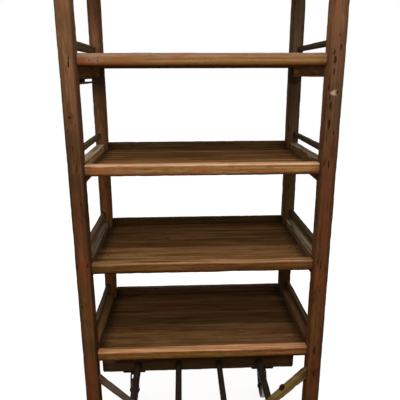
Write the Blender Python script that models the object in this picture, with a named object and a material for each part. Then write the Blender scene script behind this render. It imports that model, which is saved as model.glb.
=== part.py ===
# Rolling cobbler rack: a wooden shoe rack with tray shelves on swivel casters.
# Metres, +Z up, the front towards -Y, the origin on the floor under the middle of the rack.
import math

import bmesh
import bpy
from mathutils import Matrix, Vector

# Overall frame
RACK_WIDTH = 0.660
RACK_DEPTH = 0.428
POST_WIDTH = 0.036
POST_DEPTH = 0.046
POST_EASE = 0.002
POST_HEAD = 0.051
POST_HEAD_CHAMFER = 0.006

# Shelves, stacked from the bolsters upwards; a shelf's height is the top of its rails and sides
SHELF_COUNT = 5
SHELF_PITCH = 0.2635
LOWER_BAY = 0.270

# Front and rear rails of a shelf
FRONT_RAIL_DEPTH = 0.024
REAR_RAIL_DEPTH = 0.023
RAIL_HEIGHT = 0.030
RAIL_OUTER_ARRIS = 0.004
RAIL_INNER_ARRIS = 0.002
RABBET_DEPTH = 0.008

# Boarded deck of a shelf, with a tongue at each end that is let into the side boards
DECK_THICKNESS = 0.009
DECK_TONGUE = 0.008
DECK_TONGUE_SHOULDER = 0.002
BOARD_COUNT = 5
BOARD_GROOVE = 0.002

# Side boards and the guard laths above them
SIDE_BOARD_THICKNESS = 0.025
SIDE_BOARD_HEIGHT = 0.052
SIDE_BOARD_INSET = 0.005
SIDE_BOARD_EASE = 0.002
GUARD_THICKNESS = 0.0135
GUARD_HEIGHT = 0.0155
GUARD_LIFT = 0.018
GUARD_EASE = 0.003

# Joinery
TENON_LENGTH = 0.010
TENON_THICKNESS = 0.009
TENON_SHOULDER = 0.004
FOOT_TENON_LENGTH = 0.025
FOOT_TENON_SHOULDER = 0.010
FIT_GAP = 0.0003

# Truck: bolsters, tie rods and knee braces
BOLSTER_OVERHANG = 0.028
BOLSTER_HEIGHT = 0.060
BOLSTER_EASE = 0.004
ROD_COUNT = 4
ROD_RADIUS = 0.010
ROD_SPACING = 0.150
ROD_SEAT = 0.025
LEFT_BRACE_WIDTH = 0.012
RIGHT_BRACE_WIDTH = 0.022
BRACE_THICKNESS = 0.014
BRACE_SETBACK = 0.012
BRACE_REACH = 0.190

# Swivel casters
CASTER_HEIGHT = 0.115
CASTER_INSET = 0.116
CASTER_TRAIL = 0.030
PLATE_LENGTH = 0.084
PLATE_WIDTH = 0.044
PLATE_THICKNESS = 0.004
PLATE_CORNER = 0.006
PLATE_HOLE_RADIUS = 0.003
PLATE_HOLE_MARGIN = 0.009
RACE_RADIUS = 0.0175
RACE_FLARE = 0.003
RACE_HEIGHT = 0.007
KINGPIN_RADIUS = 0.005
KINGPIN_HEAD_RADIUS = 0.008
KINGPIN_HEAD_HEIGHT = 0.004
FORK_GAUGE = 0.003
FORK_BEND = 0.006
FORK_TOE = 0.018
FORK_HEEL = 0.020
FORK_SKIRT = 0.009
FORK_BOSS_RADIUS = 0.011
AXLE_RADIUS = 0.005
AXLE_HEAD_RADIUS = 0.008
AXLE_HEAD_HEIGHT = 0.004
WHEEL_RADIUS = 0.042
TREAD_WIDTH = 0.020
TREAD_CHAMFER = 0.002
RIM_THICKNESS = 0.008
WEB_THICKNESS = 0.008
HUB_RADIUS = 0.012
HUB_WIDTH = 0.024
SWIVEL_GAP = 0.0004
BEARING_GAP = 0.0003
HUB_SIDE_GAP = 0.0005

# Facets of the round pieces
ROD_SIDES = 16
PIN_SIDES = 16
HOLE_SIDES = 12
RACE_SIDES = 24
WHEEL_SIDES = 32
BEND_STEPS = 4
BOSS_STEPS = 10
ARRIS_STEPS = 3
SMOOTH_ANGLE = math.radians(30)
MERGE_DISTANCE = 0.000001

# Places worked out from the sizes above
BOLSTER_LENGTH = RACK_WIDTH + 2 * BOLSTER_OVERHANG
BOLSTER_TOP = CASTER_HEIGHT + BOLSTER_HEIGHT
SHELF_HEIGHTS = [BOLSTER_TOP + LOWER_BAY + SHELF_PITCH * level for level in range(SHELF_COUNT)]
POST_TOP = SHELF_HEIGHTS[-1] + POST_HEAD
POST_INNER_X = RACK_WIDTH / 2 - POST_WIDTH
POST_INNER_Y = RACK_DEPTH / 2 - POST_DEPTH
FRONT_RAIL_INNER_Y = -POST_INNER_Y
REAR_RAIL_INNER_Y = RACK_DEPTH / 2 - REAR_RAIL_DEPTH
SIDE_OUTER_X = RACK_WIDTH / 2 - SIDE_BOARD_INSET
SIDE_INNER_X = SIDE_OUTER_X - SIDE_BOARD_THICKNESS
DECK_BOTTOM = -RAIL_HEIGHT
DECK_TOP = DECK_BOTTOM + DECK_THICKNESS
ROD_HEIGHT = CASTER_HEIGHT + BOLSTER_HEIGHT / 2
CASTER_X = BOLSTER_LENGTH / 2 - CASTER_INSET
CASTER_Y = RACK_DEPTH / 2 - POST_DEPTH / 2
SIDES = {"left": -1, "right": 1}
ENDS = {"front": -1, "rear": 1}


def clear_scene():
    for item in list(bpy.data.objects):
        bpy.data.objects.remove(item, do_unlink=True)


def make_material(name, colour, roughness, metallic=0.0):
    material = bpy.data.materials.new(name)
    material.use_nodes = True
    shader = material.node_tree.nodes["Principled BSDF"]
    shader.inputs["Base Color"].default_value = (*colour, 1.0)
    shader.inputs["Roughness"].default_value = roughness
    shader.inputs["Metallic"].default_value = metallic
    material.diffuse_color = (*colour, 1.0)
    return material


def add_empty(name, location, parent=None, turn=0.0):
    empty = bpy.data.objects.new(name, None)
    empty.location = location
    empty.rotation_euler = (0.0, 0.0, turn)
    empty.parent = parent
    bpy.context.collection.objects.link(empty)
    return empty


def add_piece(name, mesh, material, parent, smooth=False):
    mesh.materials.clear()
    mesh.materials.append(material)
    if smooth:
        mesh.shade_smooth()
        mesh.set_sharp_from_angle(angle=SMOOTH_ANGLE)
    piece = bpy.data.objects.new(name, mesh)
    piece.parent = parent
    bpy.context.collection.objects.link(piece)
    return piece


def to_mesh(bm, name="solid"):
    bmesh.ops.recalc_face_normals(bm, faces=bm.faces[:])
    mesh = bpy.data.meshes.new(name)
    bm.to_mesh(mesh)
    bm.free()
    return mesh


def arc(centre, radius, start, end, steps):
    angles = [start + (end - start) * step / steps for step in range(steps + 1)]
    return [(centre[0] + radius * math.cos(a), centre[1] + radius * math.sin(a)) for a in angles]


def chamfered_outline(low, high, cut):
    (u0, v0), (u1, v1) = low, high
    return [
        (u0 + cut, v0), (u1 - cut, v0), (u1, v0 + cut), (u1, v1 - cut),
        (u1 - cut, v1), (u0 + cut, v1), (u0, v1 - cut), (u0, v0 + cut),
    ]


def rounded_outline(width, depth, radius, steps):
    quarter = math.pi / 2
    corners = [(1, 1), (-1, 1), (-1, -1), (1, -1)]
    outline = []
    for turn, (side, end) in enumerate(corners):
        centre = (side * (width / 2 - radius), end * (depth / 2 - radius))
        outline += arc(centre, radius, turn * quarter, (turn + 1) * quarter, steps)
    return outline


def on_plane(axis, u, v, along):
    return {"X": (along, u, v), "Y": (u, along, v), "Z": (u, v, along)}[axis]


def prism(outline, axis, start, end):
    bm = bmesh.new()
    face = bm.faces.new([bm.verts.new(on_plane(axis, u, v, start)) for u, v in outline])
    grown = bmesh.ops.extrude_face_region(bm, geom=[face])
    moved = [item for item in grown["geom"] if isinstance(item, bmesh.types.BMVert)]
    bmesh.ops.translate(bm, verts=moved, vec=on_plane(axis, 0.0, 0.0, end - start))
    return bm


def box(low, high):
    outline = [(low[0], low[1]), (high[0], low[1]), (high[0], high[1]), (low[0], high[1])]
    return prism(outline, "Z", low[2], high[2])


def cylinder(radius, sides, axis, centre, start, end):
    turn = math.pi / sides
    outline = arc(centre, radius, turn, turn + 2 * math.pi, sides)[:-1]
    return prism(outline, axis, start, end)


def turned(profile, sides, ring=False):
    bm = bmesh.new()
    points = [bm.verts.new((radius, 0.0, height)) for radius, height in profile]
    pairs = list(zip(points, points[1:]))
    if ring:
        pairs.append((points[-1], points[0]))
    edges = [bm.edges.new(pair) for pair in pairs]
    bmesh.ops.spin(bm, geom=points + edges, axis=(0, 0, 1), angle=2 * math.pi, steps=sides, use_merge=True)
    bmesh.ops.remove_doubles(bm, verts=bm.verts[:], dist=MERGE_DISTANCE)
    return bm


def combine(meshes):
    bm = bmesh.new()
    for mesh in meshes:
        bm.from_mesh(mesh)
        bpy.data.meshes.remove(mesh)
    return to_mesh(bm)


def boolean(base, tool, operation):
    operands = [bpy.data.objects.new(name, mesh) for name, mesh in (("base", base), ("tool", tool))]
    for operand in operands:
        bpy.context.collection.objects.link(operand)
    modifier = operands[0].modifiers.new("shape", "BOOLEAN")
    modifier.operation = operation
    modifier.object = operands[1]
    depsgraph = bpy.context.evaluated_depsgraph_get()
    result = bpy.data.meshes.new_from_object(operands[0].evaluated_get(depsgraph))
    for operand in operands:
        bpy.data.objects.remove(operand, do_unlink=True)
    bpy.data.meshes.remove(base)
    bpy.data.meshes.remove(tool)
    return result


def grown_box(bounds, gap):
    low, high = bounds
    spread = Vector((gap, gap, gap))
    return to_mesh(box(Vector(low) - spread, Vector(high) + spread))


def ordered(a, b):
    return (min(a, b), max(a, b))


# Tenon cores: each bar runs inside its piece and on into the pieces that are cut to take it

def rail_core(end):
    reach = POST_INNER_X + TENON_LENGTH
    if end < 0:
        outer = FRONT_RAIL_INNER_Y - FRONT_RAIL_DEPTH
    else:
        outer = REAR_RAIL_INNER_Y + REAR_RAIL_DEPTH
    near, far = ordered(outer - end * TENON_SHOULDER, outer - end * (TENON_SHOULDER + TENON_THICKNESS))
    low = (-reach, near, -RAIL_HEIGHT + TENON_SHOULDER)
    high = (reach, far, -TENON_SHOULDER)
    return low, high


def side_core(side):
    reach = POST_INNER_Y + TENON_LENGTH
    outer = side * (SIDE_OUTER_X - TENON_SHOULDER)
    near, far = ordered(outer, outer - side * TENON_THICKNESS)
    low = (near, -reach, -SIDE_BOARD_HEIGHT + TENON_SHOULDER)
    high = (far, reach, -TENON_SHOULDER)
    return low, high


def guard_core(side):
    reach = POST_INNER_Y + TENON_LENGTH
    near, far = ordered(side * SIDE_OUTER_X, side * (SIDE_OUTER_X - GUARD_THICKNESS))
    return (near, -reach, GUARD_LIFT), (far, reach, GUARD_LIFT + GUARD_HEIGHT)


def deck_core():
    reach = SIDE_INNER_X + DECK_TONGUE
    stop = POST_INNER_Y - DECK_TONGUE
    low = (-reach, -stop, DECK_BOTTOM + DECK_TONGUE_SHOULDER)
    high = (reach, stop, DECK_TOP - DECK_TONGUE_SHOULDER)
    return low, high


def foot_core(side, end):
    centre = Vector((side * (RACK_WIDTH - POST_WIDTH) / 2, end * (RACK_DEPTH - POST_DEPTH) / 2, BOLSTER_TOP))
    half_width = POST_WIDTH / 2 - FOOT_TENON_SHOULDER
    half_depth = POST_DEPTH / 2 - FOOT_TENON_SHOULDER
    half = Vector((half_width, half_depth, FOOT_TENON_LENGTH))
    return centre - half, centre + half


# Pieces of one shelf, with the tops of its rails and side boards at z = 0

def rail_mesh(end):
    depth = REAR_RAIL_DEPTH if end > 0 else FRONT_RAIL_DEPTH
    outer = REAR_RAIL_INNER_Y + depth if end > 0 else FRONT_RAIL_INNER_Y - depth
    quarter = math.pi / 2
    outer_bend = (RAIL_OUTER_ARRIS, -RAIL_OUTER_ARRIS)
    inner_bend = (depth - RAIL_INNER_ARRIS, -RAIL_INNER_ARRIS)
    outline = [(0.0, -RAIL_HEIGHT)]
    outline += arc(outer_bend, RAIL_OUTER_ARRIS, 2 * quarter, quarter, ARRIS_STEPS)
    outline += arc(inner_bend, RAIL_INNER_ARRIS, quarter, 0.0, ARRIS_STEPS)
    outline += [
        (depth, DECK_TOP + FIT_GAP),
        (depth - RABBET_DEPTH, DECK_TOP + FIT_GAP),
        (depth - RABBET_DEPTH, -RAIL_HEIGHT),
    ]
    outline = [(outer - end * inward, height) for inward, height in outline]
    span = POST_INNER_X - FIT_GAP
    body = to_mesh(prism(outline, "X", -span, span))
    return boolean(body, to_mesh(box(*rail_core(end))), "UNION")


def deck_mesh():
    front = FRONT_RAIL_INNER_Y - RABBET_DEPTH + FIT_GAP
    rear = REAR_RAIL_INNER_Y + RABBET_DEPTH - FIT_GAP
    board = (rear - front) / BOARD_COUNT
    outline = [(front, DECK_BOTTOM), (rear, DECK_BOTTOM), (rear, DECK_TOP)]
    for joint in range(BOARD_COUNT - 1, 0, -1):
        seam = front + board * joint
        outline += [
            (seam + BOARD_GROOVE / 2, DECK_TOP),
            (seam, DECK_TOP - BOARD_GROOVE),
            (seam - BOARD_GROOVE / 2, DECK_TOP),
        ]
    outline.append((front, DECK_TOP))
    span = SIDE_INNER_X - FIT_GAP
    body = to_mesh(prism(outline, "X", -span, span))
    notches = []
    for side in SIDES.values():
        for end in ENDS.values():
            across = ordered(side * (POST_INNER_X - FIT_GAP), side * RACK_WIDTH / 2)
            along = ordered(end * (POST_INNER_Y - FIT_GAP), end * RACK_DEPTH / 2)
            low = (across[0], along[0], DECK_BOTTOM - DECK_THICKNESS)
            high = (across[1], along[1], DECK_TOP + DECK_THICKNESS)
            notches.append(to_mesh(box(low, high)))
    body = boolean(body, combine(notches), "DIFFERENCE")
    return boolean(body, to_mesh(box(*deck_core())), "UNION")


def side_board_mesh(side):
    ease = SIDE_BOARD_EASE
    inner, outer, bottom = SIDE_INNER_X, SIDE_OUTER_X, -SIDE_BOARD_HEIGHT
    outline = [
        (inner, bottom), (outer, bottom), (outer, -ease), (outer - ease, 0.0), (inner + ease, 0.0), (inner, -ease),
    ]
    outline = [(side * across, height) for across, height in outline]
    span = POST_INNER_Y - FIT_GAP
    body = to_mesh(prism(outline, "Y", -span, span))
    body = boolean(body, to_mesh(box(*side_core(side))), "UNION")
    return boolean(body, grown_box(deck_core(), FIT_GAP), "DIFFERENCE")


def guard_mesh(side):
    low, high = guard_core(side)
    outline = chamfered_outline((low[0], low[2]), (high[0], high[2]), GUARD_EASE)
    return to_mesh(prism(outline, "Y", low[1], high[1]))


# Frame pieces, built where they stand

def post_mesh(side, end):
    across = ordered(side * RACK_WIDTH / 2, side * POST_INNER_X)
    along = ordered(end * RACK_DEPTH / 2, end * POST_INNER_Y)
    outline = chamfered_outline((across[0], along[0]), (across[1], along[1]), POST_EASE)
    bm = prism(outline, "Z", BOLSTER_TOP + FIT_GAP, POST_TOP)
    crown = [edge for edge in bm.edges if all(abs(v.co.z - POST_TOP) < FIT_GAP for v in edge.verts)]
    bmesh.ops.bevel(bm, geom=crown, offset=POST_HEAD_CHAMFER, segments=1, affect="EDGES", clamp_overlap=True)
    post = boolean(to_mesh(bm), to_mesh(box(*foot_core(side, end))), "UNION")
    pockets = []
    for height in SHELF_HEIGHTS:
        lift = Matrix.Translation((0.0, 0.0, height))
        for core in (rail_core(end), side_core(side), guard_core(side)):
            pocket = grown_box(core, FIT_GAP)
            pocket.transform(lift)
            pockets.append(pocket)
    return boolean(post, combine(pockets), "DIFFERENCE")


def rod_places():
    middle = (ROD_COUNT - 1) / 2
    return [ROD_SPACING * (index - middle) for index in range(ROD_COUNT)]


def rod_mesh(across):
    reach = POST_INNER_Y + ROD_SEAT
    return to_mesh(cylinder(ROD_RADIUS, ROD_SIDES, "Y", (across, ROD_HEIGHT), -reach, reach))


def bolster_mesh(end):
    along = ordered(end * RACK_DEPTH / 2, end * POST_INNER_Y)
    outline = chamfered_outline((along[0], CASTER_HEIGHT), (along[1], BOLSTER_TOP), BOLSTER_EASE)
    body = to_mesh(prism(outline, "X", -BOLSTER_LENGTH / 2, BOLSTER_LENGTH / 2))
    seat = POST_INNER_Y + ROD_SEAT + FIT_GAP
    holes = []
    for across in rod_places():
        hole = cylinder(ROD_RADIUS + FIT_GAP, ROD_SIDES, "Y", (across, ROD_HEIGHT), -seat, seat)
        holes.append(to_mesh(hole))
    for side in SIDES.values():
        holes.append(grown_box(foot_core(side, end), FIT_GAP))
    return boolean(body, combine(holes), "DIFFERENCE")


def brace_mesh(side):
    post_face = POST_INNER_X - FIT_GAP
    seat = BOLSTER_TOP + FIT_GAP
    width = LEFT_BRACE_WIDTH if side < 0 else RIGHT_BRACE_WIDTH
    half_cut = width / 2 * math.sqrt(2)
    outline = [
        (post_face, seat + BRACE_REACH + half_cut),
        (post_face, seat + BRACE_REACH - half_cut),
        (post_face - BRACE_REACH + half_cut, seat),
        (post_face - BRACE_REACH - half_cut, seat),
    ]
    outline = [(side * across, height) for across, height in outline]
    front = -RACK_DEPTH / 2 + BRACE_SETBACK
    return to_mesh(prism(outline, "Y", front, front + BRACE_THICKNESS))


# Caster pieces, around the swivel axis with z = 0 on the floor; the wheel trails towards +X
# and the assembly turns the swivel so that all four wheels stand inwards of their plates

PLATE_TOP = CASTER_HEIGHT - FIT_GAP
RACE_TOP = PLATE_TOP - PLATE_THICKNESS
RACE_BOTTOM = RACE_TOP - RACE_HEIGHT
CROWN_TOP = RACE_BOTTOM - SWIVEL_GAP
CROWN_BOTTOM = CROWN_TOP - FORK_GAUGE
PIN_HEAD_TOP = CROWN_BOTTOM - SWIVEL_GAP
PIN_HEAD_BOTTOM = PIN_HEAD_TOP - KINGPIN_HEAD_HEIGHT
LEG_INNER = HUB_WIDTH / 2 + HUB_SIDE_GAP
LEG_OUTER = LEG_INNER + FORK_GAUGE


def bore_radius(shaft_radius, sides):
    return (shaft_radius + BEARING_GAP) / math.cos(math.pi / sides)


def plate_mesh():
    outline = rounded_outline(PLATE_LENGTH, PLATE_WIDTH, PLATE_CORNER, BEND_STEPS)
    plate = to_mesh(prism(outline, "Z", RACE_TOP, PLATE_TOP))
    root = (RACE_TOP + PLATE_TOP) / 2
    profile = [
        (0.0, root),
        (RACE_RADIUS + RACE_FLARE, root),
        (RACE_RADIUS + RACE_FLARE, RACE_TOP - RACE_FLARE / 2),
        (RACE_RADIUS, RACE_TOP - 2 * RACE_FLARE),
        (RACE_RADIUS, RACE_BOTTOM),
        (KINGPIN_RADIUS, RACE_BOTTOM),
        (KINGPIN_RADIUS, PIN_HEAD_TOP),
        (KINGPIN_HEAD_RADIUS, PIN_HEAD_TOP),
        (KINGPIN_HEAD_RADIUS, PIN_HEAD_TOP - KINGPIN_HEAD_HEIGHT / 2),
        (KINGPIN_RADIUS, PIN_HEAD_BOTTOM),
        (0.0, PIN_HEAD_BOTTOM),
    ]
    plate = boolean(plate, to_mesh(turned(profile, RACE_SIDES)), "UNION")
    hole_x = PLATE_LENGTH / 2 - PLATE_HOLE_MARGIN
    hole_y = PLATE_WIDTH / 2 - PLATE_HOLE_MARGIN
    start, stop = RACE_TOP - PLATE_THICKNESS, PLATE_TOP + PLATE_THICKNESS
    holes = []
    for side in SIDES.values():
        for end in ENDS.values():
            centre = (side * hole_x, end * hole_y)
            holes.append(to_mesh(cylinder(PLATE_HOLE_RADIUS, HOLE_SIDES, "Z", centre, start, stop)))
    return boolean(plate, combine(holes), "DIFFERENCE")


def tangent_angle(point, centre, radius, turn):
    reach = math.dist(point, centre)
    heading = math.atan2(point[1] - centre[1], point[0] - centre[0])
    return heading + turn * math.acos(radius / reach)


def fork_channel():
    quarter = math.pi / 2
    inner_bend = FORK_BEND - FORK_GAUGE
    foot = WHEEL_RADIUS - FORK_BOSS_RADIUS - FORK_GAUGE
    right = (LEG_OUTER - FORK_BEND, CROWN_TOP - FORK_BEND)
    left = (-right[0], right[1])
    outline = [(LEG_INNER, foot), (LEG_OUTER, foot)]
    outline += arc(right, FORK_BEND, 0.0, quarter, BEND_STEPS)
    outline += arc(left, FORK_BEND, quarter, 2 * quarter, BEND_STEPS)
    outline += [(-LEG_OUTER, foot), (-LEG_INNER, foot)]
    outline += arc(left, inner_bend, 2 * quarter, quarter, BEND_STEPS)
    outline += arc(right, inner_bend, quarter, 0.0, BEND_STEPS)
    reach = CASTER_TRAIL + FORK_BOSS_RADIUS + FORK_HEEL
    return to_mesh(prism(outline, "X", -FORK_TOE - FORK_GAUGE, reach))


def fork_side_view():
    boss = (CASTER_TRAIL, WHEEL_RADIUS)
    toe = (-FORK_TOE, CROWN_TOP - FORK_SKIRT)
    heel = (FORK_HEEL, CROWN_TOP - FORK_SKIRT)
    start = tangent_angle(toe, boss, FORK_BOSS_RADIUS, 1)
    end = tangent_angle(heel, boss, FORK_BOSS_RADIUS, -1) + 2 * math.pi
    outline = [(heel[0], CROWN_TOP + FORK_GAUGE), (toe[0], CROWN_TOP + FORK_GAUGE), toe]
    outline += arc(boss, FORK_BOSS_RADIUS, start, end, BOSS_STEPS)
    outline.append(heel)
    return to_mesh(prism(outline, "Y", -LEG_OUTER - FORK_GAUGE, LEG_OUTER + FORK_GAUGE))


def axle_mesh():
    root = LEG_OUTER - FORK_GAUGE / 2
    crest = LEG_OUTER + AXLE_HEAD_HEIGHT
    half = [
        (0.0, crest),
        (AXLE_RADIUS, crest - AXLE_HEAD_HEIGHT / 4),
        (AXLE_HEAD_RADIUS, LEG_OUTER),
        (AXLE_HEAD_RADIUS, root),
        (AXLE_RADIUS, root),
    ]
    profile = half + [(radius, -height) for radius, height in reversed(half)]
    axle = to_mesh(turned(profile, PIN_SIDES))
    seat = Matrix.Translation((CASTER_TRAIL, 0.0, WHEEL_RADIUS))
    axle.transform(seat @ Matrix.Rotation(math.pi / 2, 4, "X"))
    return axle


def fork_mesh():
    fork = boolean(fork_channel(), fork_side_view(), "INTERSECT")
    eye = bore_radius(KINGPIN_RADIUS, RACE_SIDES)
    start, stop = CROWN_BOTTOM - FORK_GAUGE, CROWN_TOP + FORK_GAUGE
    hole = to_mesh(cylinder(eye, RACE_SIDES, "Z", (0.0, 0.0), start, stop))
    fork = boolean(fork, hole, "DIFFERENCE")
    return boolean(fork, axle_mesh(), "UNION")


def wheel_mesh():
    bore = bore_radius(AXLE_RADIUS, WHEEL_SIDES)
    crown = WHEEL_RADIUS / math.cos(math.pi / WHEEL_SIDES)
    rim = crown - RIM_THICKNESS
    half = [
        (bore, HUB_WIDTH / 2),
        (HUB_RADIUS, HUB_WIDTH / 2),
        (HUB_RADIUS + TREAD_CHAMFER, WEB_THICKNESS / 2),
        (rim, WEB_THICKNESS / 2),
        (rim + TREAD_CHAMFER, TREAD_WIDTH / 2),
        (crown - TREAD_CHAMFER, TREAD_WIDTH / 2),
        (crown, TREAD_WIDTH / 2 - TREAD_CHAMFER),
    ]
    profile = half + [(radius, -height) for radius, height in reversed(half)]
    wheel = to_mesh(turned(profile, WHEEL_SIDES, ring=True))
    flat_down = Matrix.Rotation(math.pi / WHEEL_SIDES, 4, "Z")
    wheel.transform(Matrix.Rotation(math.pi / 2, 4, "X") @ flat_down)
    return wheel


# Assembly

def add_frame(rack, oak, dark_oak, iron):
    for side_name, side in SIDES.items():
        for end_name, end in ENDS.items():
            add_piece(f"{end_name}_{side_name}_post", post_mesh(side, end), oak, rack)
        add_piece(f"{side_name}_knee_brace", brace_mesh(side), oak, rack)
    for end_name, end in ENDS.items():
        add_piece(f"{end_name}_bolster", bolster_mesh(end), dark_oak, rack)
    for number, across in enumerate(rod_places(), start=1):
        add_piece(f"tie_rod_{number}", rod_mesh(across), iron, rack, smooth=True)


def add_shelves(rack, oak, deck_wood):
    rails = {name: rail_mesh(end) for name, end in ENDS.items()}
    boards = {name: side_board_mesh(side) for name, side in SIDES.items()}
    guards = {name: guard_mesh(side) for name, side in SIDES.items()}
    deck = deck_mesh()
    for number, height in enumerate(SHELF_HEIGHTS, start=1):
        shelf = add_empty(f"shelf_{number}", (0.0, 0.0, height), rack)
        add_piece(f"shelf_{number}_deck", deck, deck_wood, shelf)
        for name, mesh in rails.items():
            add_piece(f"shelf_{number}_{name}_rail", mesh, oak, shelf)
        for name, mesh in boards.items():
            add_piece(f"shelf_{number}_{name}_side_board", mesh, oak, shelf)
        for name, mesh in guards.items():
            add_piece(f"shelf_{number}_{name}_guard", mesh, oak, shelf)


def add_casters(rack, iron, wheel_iron):
    plate, fork, wheel = plate_mesh(), fork_mesh(), wheel_mesh()
    for end_name, end in ENDS.items():
        for side_name, side in SIDES.items():
            corner = f"{end_name}_{side_name}"
            stand = add_empty(f"{corner}_caster", (side * CASTER_X, end * CASTER_Y, 0.0), rack)
            swivel = add_empty(f"{corner}_swivel_axis", (0.0, 0.0, 0.0), stand, turn=-end * math.pi / 2)
            axle = add_empty(f"{corner}_axle_axis", (CASTER_TRAIL, 0.0, WHEEL_RADIUS), swivel)
            add_piece(f"{corner}_caster_plate", plate, iron, stand, smooth=True)
            add_piece(f"{corner}_caster_fork", fork, iron, swivel, smooth=True)
            add_piece(f"{corner}_caster_wheel", wheel, wheel_iron, axle, smooth=True)


def main():
    clear_scene()
    oak = make_material("stained_oak", (0.150, 0.070, 0.032), 0.55)
    dark_oak = make_material("blackened_oak", (0.030, 0.018, 0.010), 0.65)
    deck_wood = make_material("worn_deck_boards", (0.110, 0.058, 0.028), 0.60)
    iron = make_material("blackened_iron", (0.030, 0.028, 0.026), 0.50, metallic=0.9)
    wheel_iron = make_material("cast_iron", (0.060, 0.052, 0.046), 0.55, metallic=0.9)
    rack = add_empty("rack", (0.0, 0.0, 0.0))
    add_frame(rack, oak, dark_oak, iron)
    add_shelves(rack, oak, deck_wood)
    add_casters(rack, iron, wheel_iron)


main()
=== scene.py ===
import random
from functools import partial
from math import cos, inf, pi, radians, sin, sqrt

import bmesh
import bpy
from mathutils import Matrix, Vector, noise


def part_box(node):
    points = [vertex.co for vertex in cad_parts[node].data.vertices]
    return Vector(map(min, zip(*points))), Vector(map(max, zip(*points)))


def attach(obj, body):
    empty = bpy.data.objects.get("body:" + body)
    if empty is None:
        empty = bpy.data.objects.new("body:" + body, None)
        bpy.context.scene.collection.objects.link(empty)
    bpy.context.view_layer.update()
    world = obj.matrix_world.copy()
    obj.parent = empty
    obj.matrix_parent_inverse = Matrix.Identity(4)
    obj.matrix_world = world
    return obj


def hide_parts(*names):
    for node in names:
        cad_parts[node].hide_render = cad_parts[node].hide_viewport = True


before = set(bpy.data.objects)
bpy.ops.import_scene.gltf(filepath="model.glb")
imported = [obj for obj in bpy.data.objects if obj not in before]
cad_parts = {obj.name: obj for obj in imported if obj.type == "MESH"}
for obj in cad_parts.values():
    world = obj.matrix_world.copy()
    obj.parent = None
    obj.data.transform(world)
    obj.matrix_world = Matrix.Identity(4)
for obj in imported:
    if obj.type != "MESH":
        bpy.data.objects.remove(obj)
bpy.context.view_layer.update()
print("frame loaded:", len(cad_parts), "CAD nodes")

corners = ["front_left", "front_right", "rear_left", "rear_right"]
sides = {"left": -1, "right": 1}
shelfNumbers = [1, 2, 3, 4, 5]
smooth = {"interpolation_type": "SMOOTHSTEP"}    # for masks that fade without a hard edge

# faces of the posts and bolsters that the other timbers butt against
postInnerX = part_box("front_right_post")[0].x
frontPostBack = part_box("front_right_post")[1].y
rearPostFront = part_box("rear_right_post")[0].y
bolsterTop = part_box("front_bolster")[1].z


def linearColour(hexText):
    channels = [int(hexText[i:i + 2], 16) / 255 for i in (1, 3, 5)]
    linear = [c / 12.92 if c <= 0.04045 else ((c + 0.055) / 1.055) ** 2.4 for c in channels]
    return (*linear, 1.0)


def addNode(tree, kind, inputs=(), **settings):
    # a kind may carry its operation; inputs are named or in the order of the sockets; colours are hex text
    kind, *operation = kind.split()
    node = tree.nodes.new(f"ShaderNode{kind}")
    if operation:
        node.operation = operation[0]
    for name, value in settings.items():
        if name == "stops":
            elements = node.color_ramp.elements
            while len(elements) < len(value):
                elements.new(0.5)
            for element, (position, colour) in zip(elements, value):
                element.position, element.color = position, linearColour(colour)
        else:
            setattr(node, name, value)
    for key, value in inputs.items() if isinstance(inputs, dict) else enumerate(inputs):
        if isinstance(value, bpy.types.NodeSocket):
            tree.links.new(value, node.inputs[key])
        else:
            node.inputs[key].default_value = linearColour(value) if isinstance(value, str) else value
    return node.outputs


def newMaterial(name):
    material = bpy.data.materials.new(name)
    material.use_nodes = True
    material.node_tree.nodes.clear()
    return material, partial(addNode, material.node_tree)


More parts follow.
